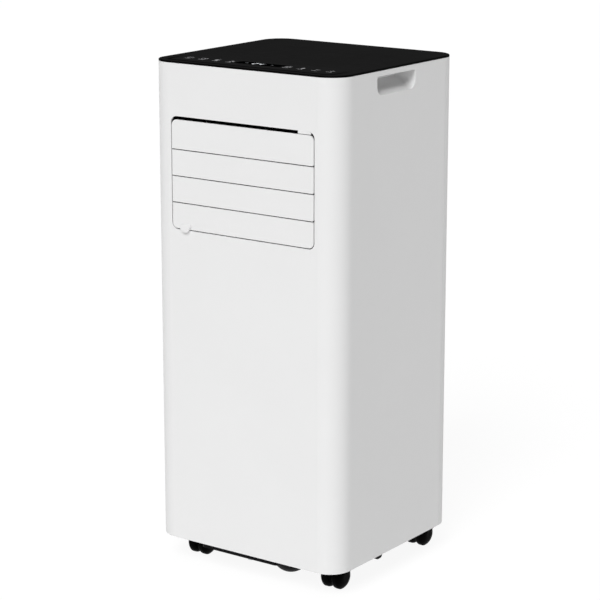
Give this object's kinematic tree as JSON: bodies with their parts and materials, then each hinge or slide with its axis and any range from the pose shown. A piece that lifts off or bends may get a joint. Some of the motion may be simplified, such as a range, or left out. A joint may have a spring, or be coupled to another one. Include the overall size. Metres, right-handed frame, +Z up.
{
  "type": "portable air conditioner",
  "caption": "Tall portable air conditioner on twin-wheel casters: white casing, black touch top, slatted front louvre, side hand recesses, rear intake grille and exhaust outlet.",
  "frame": {"origin": "on the floor under the middle of the casing", "axes": "+Z up; the front with the louvre faces -Y; +X is to the right of someone facing the front"},
  "size_m": [0.3, 0.2875, 0.69],
  "materials": {
    "white_plastic": "satin",
    "black_top": "satin",
    "touch_panel": "gloss",
    "black_plastic": "satin",
    "duct_plastic": "matte",
    "scroll_plastic": "matte",
    "fan_plastic": "satin",
    "motor_metal": "satin",
    "fins": "brushed",
    "copper": "polished",
    "compressor_paint": "gloss",
    "rubber": "matte",
    "galvanised": "satin",
    "circuit_board": "satin",
    "capacitor": "satin",
    "caster_black": "gloss",
    "wheel_black": "satin",
    "screw_steel": "satin",
    "filter_mesh": "woven",
    "plug_rubber": "matte"
  },
  "bodies": {
    "casing": {"base_pan": "black_plastic", "front_shell": "white_plastic", "rear_shell": "white_plastic", "top_cover": "black_top", "control_overlay": "touch_panel", "control_board": "circuit_board", "handle_cup_right": "white_plastic", "handle_cup_left": "white_plastic", "louvre_frame": "black_plastic", "louvre_end_block": "white_plastic", "outlet_duct": "duct_plastic", "evap_scroll": "scroll_plastic", "evap_scroll_cover": "scroll_plastic", "evap_fan_motor": "motor_metal", "evaporator_fins": "fins", "evaporator_tubes": "copper", "drip_tray": "duct_plastic", "condenser_fins": "fins", "condenser_tubes": "copper", "cond_scroll": "scroll_plastic", "cond_scroll_cover": "scroll_plastic", "cond_fan_motor": "motor_metal", "exhaust_duct": "duct_plastic", "compressor": "compressor_paint", "compressor_mounts": "rubber", "refrigerant_pipes": "copper", "electrical_box": "galvanised", "main_board": "circuit_board", "run_capacitor": "capacitor", "cord_gland": "black_plastic", "casing_screws": "screw_steel"},
    "slat_1": {"louvre_slat_1": "white_plastic"},
    "slat_2": {"louvre_slat_2": "white_plastic"},
    "slat_3": {"louvre_slat_3": "white_plastic"},
    "slat_4": {"louvre_slat_4": "white_plastic"},
    "slat_link": {"louvre_link": "black_plastic"},
    "vane_1": {"vane_1": "black_plastic"},
    "vane_2": {"vane_2": "black_plastic"},
    "vane_3": {"vane_3": "black_plastic"},
    "vane_4": {"vane_4": "black_plastic"},
    "vane_link": {"vane_link": "black_plastic"},
    "evap_fan": {"evap_fan_wheel": "fan_plastic"},
    "cond_fan": {"cond_fan_wheel": "fan_plastic"},
    "float": {"float_ring": "scroll_plastic"},
    "grille": {"intake_grille": "white_plastic", "filter_mesh": "filter_mesh"},
    "drain_plug": {"drain_plug": "plug_rubber"},
    "caster_front_left": {"caster_front_left_fork": "caster_black"},
    "caster_front_left_wheel_l": {"caster_front_left_wheel_l": "wheel_black"},
    "caster_front_left_wheel_r": {"caster_front_left_wheel_r": "wheel_black"},
    "caster_front_right": {"caster_front_right_fork": "caster_black"},
    "caster_front_right_wheel_l": {"caster_front_right_wheel_l": "wheel_black"},
    "caster_front_right_wheel_r": {"caster_front_right_wheel_r": "wheel_black"},
    "caster_rear_left": {"caster_rear_left_fork": "caster_black"},
    "caster_rear_left_wheel_l": {"caster_rear_left_wheel_l": "wheel_black"},
    "caster_rear_left_wheel_r": {"caster_rear_left_wheel_r": "wheel_black"},
    "caster_rear_right": {"caster_rear_right_fork": "caster_black"},
    "caster_rear_right_wheel_l": {"caster_rear_right_wheel_l": "wheel_black"},
    "caster_rear_right_wheel_r": {"caster_rear_right_wheel_r": "wheel_black"}
  },
  "joints": [
    {"name": "slat_4_tilt", "type": "hinge", "parent": "casing", "child": "slat_4", "pos_m": [0, -0.13249, 0.487], "axis": [-1, 0, 0], "range_deg": [0, 78]},
    {"name": "slat_1_tilt", "type": "hinge", "parent": "casing", "child": "slat_1", "pos_m": [0, -0.13249, 0.5926], "axis": [-1, 0, 0], "range_deg": [0, 78]},
    {"name": "slat_2_tilt", "type": "hinge", "parent": "casing", "child": "slat_2", "pos_m": [0, -0.13249, 0.5574], "axis": [-1, 0, 0], "range_deg": [0, 78]},
    {"name": "slat_3_tilt", "type": "hinge", "parent": "casing", "child": "slat_3", "pos_m": [0, -0.13249, 0.5222], "axis": [-1, 0, 0], "range_deg": [0, 78]},
    {"name": "slat_link_pin", "type": "hinge", "parent": "slat_4", "child": "slat_link", "pos_m": [0.12, -0.12249, 0.487], "axis": [-1, 0, 0], "range_deg": [-78, 0]},
    {"name": "vane_3_turn", "type": "hinge", "parent": "casing", "child": "vane_3", "pos_m": [0.025, -0.1015, 0.54], "axis": [0, 0, 1], "range_deg": [-40, 40]},
    {"name": "vane_1_turn", "type": "hinge", "parent": "casing", "child": "vane_1", "pos_m": [-0.075, -0.1015, 0.54], "axis": [0, 0, 1], "range_deg": [-40, 40]},
    {"name": "vane_2_turn", "type": "hinge", "parent": "casing", "child": "vane_2", "pos_m": [-0.025, -0.1015, 0.54], "axis": [0, 0, 1], "range_deg": [-40, 40]},
    {"name": "vane_4_turn", "type": "hinge", "parent": "casing", "child": "vane_4", "pos_m": [0.075, -0.1015, 0.54], "axis": [0, 0, 1], "range_deg": [-40, 40]},
    {"name": "vane_link_pin", "type": "hinge", "parent": "vane_3", "child": "vane_link", "pos_m": [0.025, -0.0935, 0.4737], "axis": [0, 0, 1], "range_deg": [-40, 40]},
    {"name": "evap_fan_spin", "type": "hinge", "parent": "casing", "child": "evap_fan", "pos_m": [-0.025, 0.042, 0.466], "axis": [0, 1, 0], "continuous": true},
    {"name": "cond_fan_spin", "type": "hinge", "parent": "casing", "child": "cond_fan", "pos_m": [0.028, 0.063, 0.1385], "axis": [0, 1, 0], "continuous": true},
    {"name": "float_rise", "type": "slide", "parent": "casing", "child": "float", "axis": [0, 0, 1], "range_m": [0, 0.02]},
    {"name": "grille_pull", "type": "slide", "parent": "casing", "child": "grille", "axis": [0, 1, 0], "range_m": [0, 0.25]},
    {"name": "drain_plug_pull", "type": "slide", "parent": "casing", "child": "drain_plug", "axis": [0, 1, 0], "range_m": [0, 0.08]},
    {"name": "caster_front_left_swivel", "type": "hinge", "parent": "casing", "child": "caster_front_left", "pos_m": [-0.112, -0.095, 0.047], "axis": [0, 0, 1], "continuous": true},
    {"name": "caster_front_left_roll_l", "type": "hinge", "parent": "caster_front_left", "child": "caster_front_left_wheel_l", "pos_m": [-0.112, -0.086, 0.017], "axis": [1, 0, 0], "continuous": true},
    {"name": "caster_front_left_roll_r", "type": "hinge", "parent": "caster_front_left", "child": "caster_front_left_wheel_r", "pos_m": [-0.112, -0.086, 0.017], "axis": [1, 0, 0], "continuous": true},
    {"name": "caster_front_right_swivel", "type": "hinge", "parent": "casing", "child": "caster_front_right", "pos_m": [0.112, -0.095, 0.047], "axis": [0, 0, 1], "continuous": true},
    {"name": "caster_front_right_roll_l", "type": "hinge", "parent": "caster_front_right", "child": "caster_front_right_wheel_l", "pos_m": [0.112, -0.086, 0.017], "axis": [1, 0, 0], "continuous": true},
    {"name": "caster_front_right_roll_r", "type": "hinge", "parent": "caster_front_right", "child": "caster_front_right_wheel_r", "pos_m": [0.112, -0.086, 0.017], "axis": [1, 0, 0], "continuous": true},
    {"name": "caster_rear_left_swivel", "type": "hinge", "parent": "casing", "child": "caster_rear_left", "pos_m": [-0.112, 0.109, 0.047], "axis": [0, 0, 1], "continuous": true},
    {"name": "caster_rear_left_roll_l", "type": "hinge", "parent": "caster_rear_left", "child": "caster_rear_left_wheel_l", "pos_m": [-0.112, 0.118, 0.017], "axis": [1, 0, 0], "continuous": true},
    {"name": "caster_rear_left_roll_r", "type": "hinge", "parent": "caster_rear_left", "child": "caster_rear_left_wheel_r", "pos_m": [-0.112, 0.118, 0.017], "axis": [1, 0, 0], "continuous": true},
    {"name": "caster_rear_right_swivel", "type": "hinge", "parent": "casing", "child": "caster_rear_right", "pos_m": [0.112, 0.109, 0.047], "axis": [0, 0, 1], "continuous": true},
    {"name": "caster_rear_right_roll_l", "type": "hinge", "parent": "caster_rear_right", "child": "caster_rear_right_wheel_l", "pos_m": [0.112, 0.118, 0.017], "axis": [1, 0, 0], "continuous": true},
    {"name": "caster_rear_right_roll_r", "type": "hinge", "parent": "caster_rear_right", "child": "caster_rear_right_wheel_r", "pos_m": [0.112, 0.118, 0.017], "axis": [1, 0, 0], "continuous": true}
  ],
  "couplings": [
    {"joint": "slat_1_tilt", "follows": "slat_4_tilt", "ratio": 1},
    {"joint": "slat_2_tilt", "follows": "slat_4_tilt", "ratio": 1},
    {"joint": "slat_3_tilt", "follows": "slat_4_tilt", "ratio": 1},
    {"joint": "slat_link_pin", "follows": "slat_4_tilt", "ratio": -1},
    {"joint": "vane_1_turn", "follows": "vane_3_turn", "ratio": 1},
    {"joint": "vane_2_turn", "follows": "vane_3_turn", "ratio": 1},
    {"joint": "vane_4_turn", "follows": "vane_3_turn", "ratio": 1},
    {"joint": "vane_link_pin", "follows": "vane_3_turn", "ratio": -1}
  ]
}
